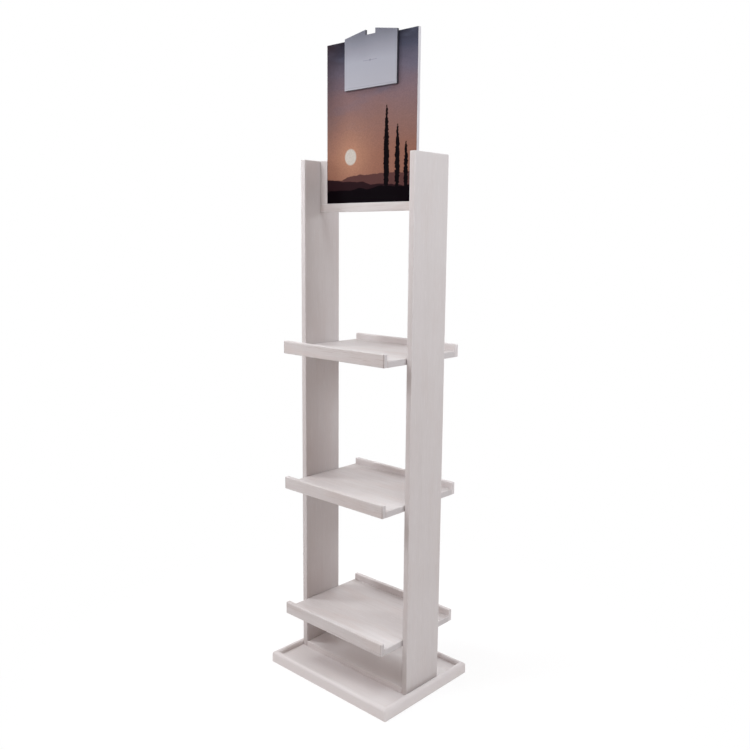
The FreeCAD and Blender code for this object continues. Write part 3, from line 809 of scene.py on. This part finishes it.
# %% Materials: sheet goods
def sheet_good(name, colour, shade, worn_and_lit_edge, gloss, tooth):
    """A smooth sheet material with faint mottling, specks, and paler edges that are partly wear and
    partly a painted highlight.
    """
    material, tree, shader, where = new_material(name)
    marks = use_group(tree, smudges, {"Vector": where, "Cloud Scale": 14.0})
    worn_and_highlit = use_group(tree, edge_wear_and_highlight, {"Vector": where, "Amount": 0.5, "Patch Scale": 80.0})
    mottled = tint(tree, marks["Clouds"], 0.4, colour, shade)
    speckled = tint(tree, marks["Specks"], 0.3, mottled, shade)
    join(tree, mix(tree, worn_and_highlit["Mask"], speckled, worn_and_lit_edge), shader, "Base Color")
    dull(tree, marks["Clouds"], shader, gloss, gloss + 0.12)
    emboss(tree, marks["Specks"], shader, tooth, 0.0002)
    return laid_out(material)


# The third colour of each sheet is its paler edge: partly wear, partly a painted highlight
panel_board = sheet_good("panel_board", paint(206, 203, 207), paint(190, 187, 192),
                         paint(222, 220, 222), 0.5, 0.3)
plate_core = sheet_good("plate_core", paint(54, 53, 62), paint(42, 41, 50),
                        paint(84, 82, 92), 0.5, 0.2)
print("sheet goods:", panel_board.name, plate_core.name)

# %% [markdown]
# The plate's face is printed with a plain tone that fades from a cool grey under the gable
# to a paler one at its foot. A fine keyline runs round it, a few millimetres in. The middle
# stays bare, apart from a short rule with a lozenge, the kind of ornament that any sign
# has. A brushed film covers it, so the bump has very fine lines along X.

# %% Material: plate face
PLATE_LOW, PLATE_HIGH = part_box("sign_plate")
PLATE_MIDDLE = (PLATE_LOW.x + PLATE_HIGH.x) / 2
PLATE_HALF = PLATE_HIGH.x - PLATE_MIDDLE
PLATE_EAVES = 0.139
GABLE_RISE = 0.0165
NOTCH_HALF = 0.018
RULE_HEIGHT = 0.072
RULE_HALF_LENGTH = 0.026
RULE_HALF = 0.0005
LOZENGE_HALF = 0.0035
KEYLINE_INSET = 0.0055
KEYLINE_FADE = (0.0005, 0.0008)
KEYLINE_STRENGTH = 0.45
ABOVE_ALL = 1.0


def from_outline(tree, aside, height):
    """How far a point of the plate is from its nearest edge."""
    slope = GABLE_RISE / PLATE_HALF
    roof = calc(tree, "SUBTRACT", PLATE_EAVES + GABLE_RISE, times(tree, aside, slope))
    in_notch = calc(tree, "LESS_THAN", aside, NOTCH_HALF + KEYLINE_INSET)
    notch_floor = calc(tree, "SUBTRACT", ABOVE_ALL, times(tree, in_notch, ABOVE_ALL - PLATE_EAVES))
    roof = calc(tree, "MINIMUM", roof, notch_floor)
    nearest = calc(tree, "MINIMUM", calc(tree, "SUBTRACT", PLATE_HALF, aside),
                   calc(tree, "SUBTRACT", roof, height))
    return calc(tree, "MINIMUM", nearest, height)


def plate_face_material():
    """Pale film that fades from cool grey to light, with one small ornament."""
    material, tree, shader, where = new_material("plate_face")
    on_plate = mapped(tree, where, "Location", (-PLATE_MIDDLE, 0, -PLATE_LOW.z))
    parts = put(tree, "ShaderNodeSeparateXYZ", {0: on_plate})
    aside, up = calc(tree, "ABSOLUTE", parts.outputs[0]), parts.outputs[2]
    marks = use_group(tree, smudges, {"Vector": where, "Cloud Scale": 12.0})
    share = calc(tree, "DIVIDE", up, PLATE_HIGH.z - PLATE_LOW.z)
    share = calc(tree, "ADD", share, times(tree, marks["Clouds"], 0.06))
    tone = put(tree, "ShaderNodeValToRGB", {"Fac": share})
    tone.color_ramp.elements[0].color = paint(165, 165, 174)
    tone.color_ramp.elements[1].color = paint(101, 102, 114)
    middle_tone = tone.color_ramp.elements.new(0.5)
    middle_tone.color = paint(157, 158, 169)
    aloft = calc(tree, "ABSOLUTE", calc(tree, "SUBTRACT", up, RULE_HEIGHT))
    rule = times(tree, calc(tree, "LESS_THAN", aside, RULE_HALF_LENGTH),
                 calc(tree, "LESS_THAN", aloft, RULE_HALF))
    lozenge = calc(tree, "LESS_THAN", calc(tree, "ADD", aside, aloft), LOZENGE_HALF)
    off_line = calc(tree, "SUBTRACT", from_outline(tree, aside, up), KEYLINE_INSET)
    keyline = remap(tree, calc(tree, "ABSOLUTE", off_line), *KEYLINE_FADE, KEYLINE_STRENGTH, 0.0)
    ornament = calc(tree, "MAXIMUM", calc(tree, "MAXIMUM", rule, lozenge), keyline)
    film = tint(tree, ornament, 0.75, tone.outputs[0], paint(112, 110, 124))
    join(tree, film, shader, "Base Color")
    brushed = use_group(tree, grain, {"Vector": where, "Board": 40.0, "Fibre Scale": 1500.0,
                                      "Stretch": 0.01, "Waviness": 0.0})
    emboss(tree, brushed["Fibres"], shader, 0.12, 0.0001)
    dull(tree, brushed["Fibres"], shader, 0.34, 0.46)
    shader.inputs["Specular IOR Level"].default_value = 0.25
    return laid_out(material)


plate_face = plate_face_material()
print("plate face has", len(plate_face.node_tree.nodes), "nodes")

# %% [markdown]
# ## Making the panel and the plate
#
# The panel is a block with its edges barely broken, and only the face that looks forwards
# takes the print. The plate starts as its outline, a shallow gable with a notch at its
# top, pushed out to its thickness and eased all round. The pale film covers the front and
# its eased edge, which catches the light, and the dark core shows on the sides.

# %% Make the panel and the plate
KNIFE_EDGE = 0.0004
PLATE_EASE = 0.0006


def looks_forward(face):
    """Whether a face looks straight to the front."""
    return face.normal.y < -0.999


def printed_panel():
    """The header panel, with the print on its front only."""
    bm = block(*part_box("header_panel"))
    ease_edges(bm, KNIFE_EDGE, segments=2)
    mark_edges(bm)
    for face in bm.faces:
        face.material_index = 0 if looks_forward(face) else 1
    return finish_piece(bm, "printed_header_panel", [print_face, panel_board], ["header_panel"])


def gabled_plate():
    """The sign plate: a notched gable outline, with a pale film on a dark core."""
    low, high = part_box("sign_plate")
    eaves = low.z + PLATE_EAVES
    shoulder = eaves + GABLE_RISE * (1 - NOTCH_HALF / PLATE_HALF)
    outline = [(-PLATE_HALF, low.z), (PLATE_HALF, low.z), (PLATE_HALF, eaves),
               (NOTCH_HALF, shoulder), (NOTCH_HALF, eaves), (-NOTCH_HALF, eaves),
               (-NOTCH_HALF, shoulder), (-PLATE_HALF, eaves)]
    bm = bmesh.new()
    profile_face(bm, [(PLATE_MIDDLE + x, high.y, z) for x, z in outline])
    push_out(bm, bm.faces[:], Vector((0, low.y - high.y, 0)))
    bmesh.ops.recalc_face_normals(bm, faces=bm.faces)
    ease_edges(bm, PLATE_EASE, segments=3)
    mark_edges(bm)
    for face in bm.faces:
        face.material_index = 0 if face.normal.y < -0.3 else 1
    return finish_piece(bm, "gabled_sign_plate", [plate_face, plate_core], ["sign_plate"])


printed_panel()
gabled_plate()

# %% [markdown]
# ## Screws
#
# Six small pan-head screws hold the panel from behind, and countersunk ones come up
# through the base. They are bright zinc, a little dull with handling. A screw is turned
# work, so its profile is spun round its axis. The cross recess is cut by a Boolean with two
# crossed wedges, the way a punch makes it in the real head.

# %% Material: zinc
def bright_zinc():
    """Zinc plate: fine specks, cloudy dullness."""
    material, tree, shader, where = new_material("bright_zinc")
    marks = use_group(tree, smudges, {"Vector": where, "Cloud Scale": 220.0, "Speck Scale": 2600.0})
    dulled = tint(tree, marks["Clouds"], 0.6, paint(206, 204, 196), paint(160, 158, 152))
    speckled = tint(tree, marks["Specks"], 0.4, dulled, paint(120, 116, 108))
    join(tree, speckled, shader, "Base Color")
    dull(tree, marks["Clouds"], shader, 0.26, 0.44)
    shader.inputs["Metallic"].default_value = 1.0
    return laid_out(material)


zinc = bright_zinc()

# %% Helpers for screws
FACETS = 32


def turned_screw(profile):
    """Spin a profile of radius and height pairs round Z into a closed screw."""
    bm = bmesh.new()
    corners = [bm.verts.new((radius, 0, height)) for radius, height in profile]
    edges = [bm.edges.new(pair) for pair in zip(corners, corners[1:])]
    bmesh.ops.spin(bm, geom=corners + edges, cent=(0, 0, 0), axis=(0, 0, 1),
                   angle=math.tau, steps=FACETS, use_merge=True)
    bmesh.ops.remove_doubles(bm, verts=bm.verts, dist=TOUCH)
    bmesh.ops.recalc_face_normals(bm, faces=bm.faces)
    return bm


def as_object(bm, name):
    """Put a mesh in a plain object for a moment."""
    mesh = bpy.data.meshes.new(name)
    bm.to_mesh(mesh)
    bm.free()
    return show(name, mesh)


def cross_punch(width, thickness, depth, top):
    """Two crossed wedges that narrow downwards, with their top at a height."""
    bm = bmesh.new()
    for turn in (0, math.pi / 2):
        wedge = bmesh.ops.create_cube(bm, size=1)["verts"]
        bmesh.ops.scale(bm, vec=(width, thickness, depth), verts=wedge)
        lower = [corner for corner in wedge if corner.co.z < 0]
        bmesh.ops.scale(bm, vec=(0.45, 0.7, 1), verts=lower)
        bmesh.ops.rotate(bm, cent=(0, 0, 0), matrix=Matrix.Rotation(turn, 3, "Z"), verts=wedge)
    bmesh.ops.translate(bm, vec=(0, 0, top), verts=bm.verts)
    return as_object(bm, "punch")


def punched(bm, width, thickness, depth, top):
    """Cut a cross recess into a screw head and give back the finished mesh."""
    screw = as_object(bm, "blank")
    punch = cross_punch(width, thickness, depth, top)
    cut = screw.modifiers.new("recess", "BOOLEAN")
    cut.object = punch
    cut.solver = "EXACT"
    cut.use_self = True
    bpy.context.view_layer.update()
    evaluated = screw.evaluated_get(bpy.context.evaluated_depsgraph_get())
    done = bpy.data.meshes.new_from_object(evaluated)
    for thing in (screw, punch):
        bpy.data.objects.remove(thing)
    return done


def screw_set(name, node, mesh, places, turn):
    """Copies of one screw at several places, joined into one piece that stands for a node."""
    bm = bmesh.new()
    for place in places:
        before = len(bm.verts)
        bm.from_mesh(mesh)
        bm.verts.ensure_lookup_table()
        fresh = bm.verts[before:]
        bmesh.ops.rotate(bm, cent=(0, 0, 0), matrix=turn, verts=fresh)
        bmesh.ops.translate(bm, vec=place, verts=fresh)
    return finish_piece(bm, name, [zinc], [node])


# %% [markdown]
# The profiles below are pairs of radius and height, head down for the screws that point
# up. Their places come from the measured screws: each node's box gives the outermost
# axes, and the pairs stand at its corners.

# %% Make the screws
TIP = 2
CHAMFER = 0.0002
PAN_RADIUS = 0.003
STILE_SCREW_RISE = 0.060
RAIL_SCREW_X = 0.100
LEDGE_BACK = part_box("header_rail")[1].y


def corner_places(node, radius, height):
    """Axes at the four corners of a node's box, a head's radius in from its sides."""
    low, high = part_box(node)
    return [Vector((x, y, height)) for x in (low.x + radius, high.x - radius)
            for y in (low.y + radius, high.y - radius)]


def countersunk(node, head, shank, length):
    """The four countersunk screws of a node, standing on their heads under the base."""
    profile = [(0, 0), (head - CHAMFER, 0), (head, CHAMFER), (shank, head - shank),
               (shank, length - TIP * shank), (0, length)]
    mesh = punched(turned_screw(profile), head * 1.15, head * 0.26, head * 0.9, 0)
    places = corner_places(node, head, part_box(node)[0].z)
    return screw_set("zinc_" + node, node, mesh, places, Matrix.Identity(3))


def pan_head(radius, shank, rise, length):
    """One pan-head screw that points up, its head below the origin."""
    crown = rise * 0.45
    profile = [(0, -rise), (radius * 0.72, -rise), (radius * 0.93, -rise + crown * 0.4),
               (radius, -rise + crown), (radius, 0), (shank, 0), (shank, length - TIP * shank),
               (0, length)]
    return punched(turned_screw(profile), radius * 1.2, radius * 0.26, rise * 1.3, -rise)


countersunk("upright_screws", 0.005, 0.0025, 0.060)
countersunk("bottom_screws", 0.004, 0.002, 0.035)
low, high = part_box("panel_screws")
stile_x, top_z = high.x - PAN_RADIUS, high.z - PAN_RADIUS
screw_places = [Vector((x, LEDGE_BACK, z)) for x in (-stile_x, stile_x)
                for z in (top_z - STILE_SCREW_RISE, top_z)]
screw_places += [Vector((x, LEDGE_BACK, low.z + PAN_RADIUS)) for x in (-RAIL_SCREW_X, RAIL_SCREW_X)]
screw_set("zinc_panel_screws", "panel_screws", pan_head(PAN_RADIUS, 0.0015, 0.002, 0.014),
          screw_places, Matrix.Rotation(math.pi / 2, 3, "X"))

# %% [markdown]
# ## Dowels
#
# The dowels are turned beech, hidden in their holes but for the millimetre or so by which a
# shelf stands off the upright. Their measured shape is right, so they only take a finish: the
# same grain group as the boards, unpainted and tanned.

# %% Material: beech
def beech():
    """Raw beech, with its short dark flecks along X."""
    material, tree, shader, where = new_material("beech")
    figure = use_group(tree, grain, {"Vector": where, "Board": 60.0, "Band Scale": 260.0,
                                     "Fibre Scale": 900.0, "Stretch": 0.1})
    wood = mix(tree, figure["Bands"], paint(214, 176, 132), paint(196, 154, 110))
    flecked = tint(tree, figure["Pores"], 0.7, wood, paint(140, 98, 66))
    join(tree, flecked, shader, "Base Color")
    dull(tree, figure["Fibres"], shader, 0.55, 0.7)
    return laid_out(material)


dowel_wood = beech()
for node in ("shelf_dowels", "header_dowels"):
    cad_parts[node].data.materials.clear()
    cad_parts[node].data.materials.append(dowel_wood)
print("dowels take", dowel_wood.name)

# %% [markdown]
# ## Floor and backdrop
#
# The stand is shown on white. A floor bright enough to look white would need more light
# than the wood can take. So the floor is a plain pale disc for all light that bounces off
# it, and only where the camera or a reflection looks straight at it does it glow a little,
# which lifts it to white and keeps the soft shadow round the base. Further out, and in the
# sky behind, it is simply white.

# %% Floor and world
FLOOR_RADIUS = 7.0
FLOOR_SHARE = 0.72
FLOOR_GLOW = 1.10
SHADOW_REACH = (0.40, 1.10)
AMBIENT = 0.363
AMBIENT_TINT = (1.0, 0.81, 0.74, 1)
WHITE = (1, 1, 1, 1)


def seen_directly(tree):
    """1 for rays from the camera, or seen in a reflection or through glass."""
    rays = put(tree, "ShaderNodeLightPath").outputs
    direct = calc(tree, "ADD", rays["Is Camera Ray"], rays["Is Glossy Ray"], clamp=True)
    return calc(tree, "ADD", direct, rays["Is Transmission Ray"], clamp=True)


def shine(tree, kind, colour, strength):
    """An Emission or a Background, of one colour and strength."""
    return put(tree, "ShaderNode" + kind, {"Color": colour, "Strength": strength}).outputs[0]


bm = bmesh.new()
bmesh.ops.create_circle(bm, cap_ends=True, segments=96, radius=FLOOR_RADIUS)
floor = as_object(bm, "floor")
floor_finish, tree, shader, where = new_material("studio_floor")
floor.data.materials.append(floor_finish)
mottle = mix(tree, noise(tree, where, 3.0), paint(234, 234, 234), paint(238, 238, 238))
join(tree, mottle, shader, "Base Color")
shader.inputs["Roughness"].default_value = 0.9
shader.inputs["Specular IOR Level"].default_value = 0.1
plain = shader.outputs[0]
shadowed = either(tree, FLOOR_SHARE, plain, shine(tree, "Emission", WHITE, FLOOR_GLOW))
distance = put(tree, "ShaderNodeVectorMath", {0: where}, operation="LENGTH").outputs["Value"]
far = remap(tree, distance, *SHADOW_REACH, smooth=True)
backdrop = either(tree, far, shadowed, shine(tree, "Emission", WHITE, 1.0))
seen = either(tree, seen_directly(tree), plain, backdrop)
tree.links.new(seen, tree.nodes["Material Output"].inputs["Surface"])
laid_out(floor_finish)

world = bpy.data.worlds.new("studio")
bpy.context.scene.world = world
world.use_nodes = True
tree = world.node_tree
sky = either(tree, seen_directly(tree), shine(tree, "Background", AMBIENT_TINT, AMBIENT),
             shine(tree, "Background", WHITE, 1.0))
tree.links.new(sky, tree.nodes["World Output"].inputs["Surface"])
lay_out(tree, tree.nodes["World Output"])
print("floor and world are set")

# %% [markdown]
# ## Lamps
#
# Big soft boxes light the stand, as in a product studio. One sun lamp would be simpler,
# but its hard shadow would not match. The key hangs high on the left, a weaker box stands
# nearer in front, and together they give the slanting shade under each shelf. One at the
# left brightens the edges of the left upright, two on the right open up the outer side and
# the shelf tops, and two behind reach in under the shelves. Their strengths were found by
# rendering the stand under one lamp at a time and comparing the sum with the photograph.

# %% Place the lamps
LAMP_SIZE = 0.8
LAMPS = [
    ("key_left", (-1.91, -1.10, 3.80), 27.2, (0.95, 1.0, 1.0)),
    ("key_front", (-0.50, -1.70, 2.40), 17.0, (0.925, 0.96, 1.0)),
    ("soft_left", (-1.91, -1.10, 1.70), 14.6, (0.87, 0.94, 1.0)),
    ("side_right", (2.17, 0.38, 1.70), 18.5, (0.86, 0.94, 1.0)),
    ("over_right", (1.20, -0.40, 3.20), 14.9, (0.82, 0.94, 1.0)),
    ("back_high", (0.00, 2.20, 2.20), 19.0, (0.86, 0.94, 1.0)),
    ("back_low", (-1.10, 1.91, 0.70), 7.9, (1.0, 1.0, 1.0)),
]
LAMP_AIM = Vector((0, 0, 0.95))

for name, place, power, colour in LAMPS:
    lamp = show(name, bpy.data.lights.new(name, "AREA"))
    lamp.data.shape = "DISK"
    lamp.data.size = LAMP_SIZE
    lamp.data.energy = power
    lamp.data.color = colour
    lamp.location = place
    lamp.rotation_euler = (LAMP_AIM - Vector(place)).to_track_quat("-Z", "Y").to_euler()
    print("lamp", name, "gives", power, "W")
